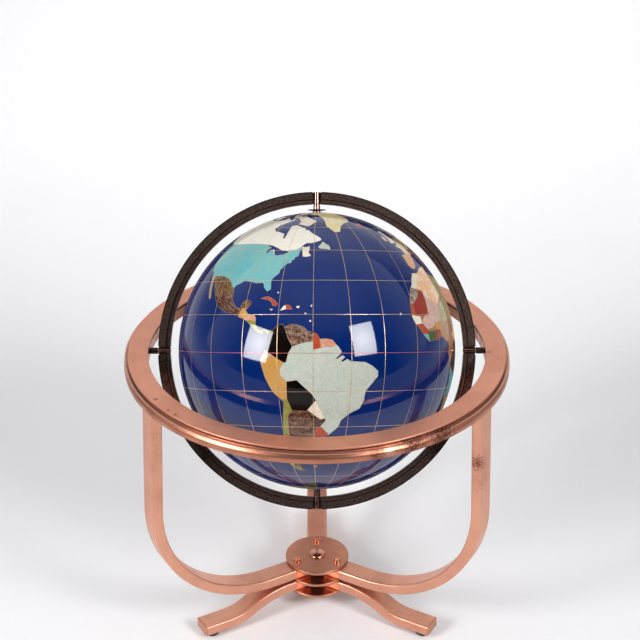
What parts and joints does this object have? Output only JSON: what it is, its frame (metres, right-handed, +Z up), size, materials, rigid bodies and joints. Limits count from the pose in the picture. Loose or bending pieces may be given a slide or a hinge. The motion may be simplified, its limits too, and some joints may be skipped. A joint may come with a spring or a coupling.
{
  "type": "desk globe on stand",
  "caption": "Stone-inlaid terrestrial globe that spins on a leaning polar axis inside a turning meridian ring, held in a level horizon ring on bent tube legs.",
  "frame": {"origin": "on the table, under the middle of the horizon ring", "axes": "+Z up; +X along the side pins, to the right as the globe is seen from the front; the viewer stands on the -Y side and the polar axis leans back towards +Y"},
  "size_m": [0.457, 0.457, 0.5284],
  "materials": {
    "copper_brushed": "antique copper plate, brushed along the ring, lacquered",
    "copper_rolled": "antique copper plate, satin, darker in the groove",
    "copper_leg": "antique copper plate, satin, brushed along the tube",
    "copper_cap": "antique copper plate, satin",
    "copper_hub": "antique copper plate, spun brushing",
    "copper_bolt": "darkened copper plate",
    "copper_bright": "polished copper",
    "antique_bronze": "dark antiqued bronze, mottled, worn on the edges",
    "dark_bronze": "dark antiqued bronze",
    "steel_pin": "bright steel",
    "steel_inner": "plain zinc-plated steel",
    "brass_bush": "turned brass",
    "resin": "moulded resin shell",
    "ocean_stone": "deep blue lapis, polished under clear lacquer",
    "stone_north_america": "polished inlaid stones in several colours",
    "stone_south_america": "polished inlaid stones in several colours",
    "stone_greenland": "polished pale yellow stone",
    "stone_africa": "polished inlaid stones in several colours",
    "stone_eurasia": "polished inlaid stones in several colours",
    "stone_australia": "polished stone",
    "stone_antarctica": "polished white stone",
    "rubber_pad": "matt black rubber"
  },
  "bodies": {
    "stand": {"foot_back": "copper_leg", "foot_caps": "copper_cap", "foot_left": "copper_leg", "foot_pads": "rubber_pad", "foot_right": "copper_leg", "horizon_rim": "copper_rolled", "horizon_top_plate": "copper_brushed", "hub_bolt": "copper_bolt", "hub_disc_bottom": "copper_hub", "hub_disc_middle": "copper_hub", "hub_disc_top": "copper_hub", "hub_nut": "steel_inner", "hub_screws": "copper_bolt", "leg_back": "copper_leg", "leg_left": "copper_leg", "leg_plugs": "steel_inner", "leg_right": "copper_leg", "leg_screws": "steel_inner", "pivot_nut_left": "steel_pin", "pivot_nut_right": "steel_pin", "pivot_pin_left": "steel_pin", "pivot_pin_right": "steel_pin", "pivot_sleeve_left": "dark_bronze", "pivot_sleeve_right": "dark_bronze"},
    "meridian": {"axis_pin_north": "steel_pin", "axis_pin_south": "steel_pin", "axis_sleeve_north": "copper_bright", "axis_sleeve_south": "copper_bright", "cup_washer_north": "dark_bronze", "meridian_arc_lower_left": "antique_bronze", "meridian_arc_lower_right": "antique_bronze", "meridian_arc_upper_left": "antique_bronze", "meridian_arc_upper_right": "antique_bronze", "ring_connector_left": "copper_bright", "ring_connector_north": "copper_bright", "ring_connector_right": "copper_bright", "ring_connector_south": "copper_bright"},
    "globe": {"equator_band": "resin", "globe_core_north": "resin", "globe_core_south": "resin", "inlay_africa": "stone_africa", "inlay_antarctica": "stone_antarctica", "inlay_australia": "stone_australia", "inlay_eurasia": "stone_eurasia", "inlay_greenland": "stone_greenland", "inlay_north_america": "stone_north_america", "inlay_south_america": "stone_south_america", "ocean_shell": "ocean_stone", "pole_bush_north": "brass_bush", "pole_bush_south": "brass_bush"}
  },
  "joints": [
    {"name": "meridian_turn", "type": "hinge", "parent": "stand", "child": "meridian", "pos_m": [0, 0, 0.36], "axis": [1, 0, 0], "continuous": true},
    {"name": "globe_spin", "type": "hinge", "parent": "meridian", "child": "globe", "pos_m": [0, 0, 0.36], "axis": [0, 0.4741, 0.8805], "continuous": true}
  ]
}
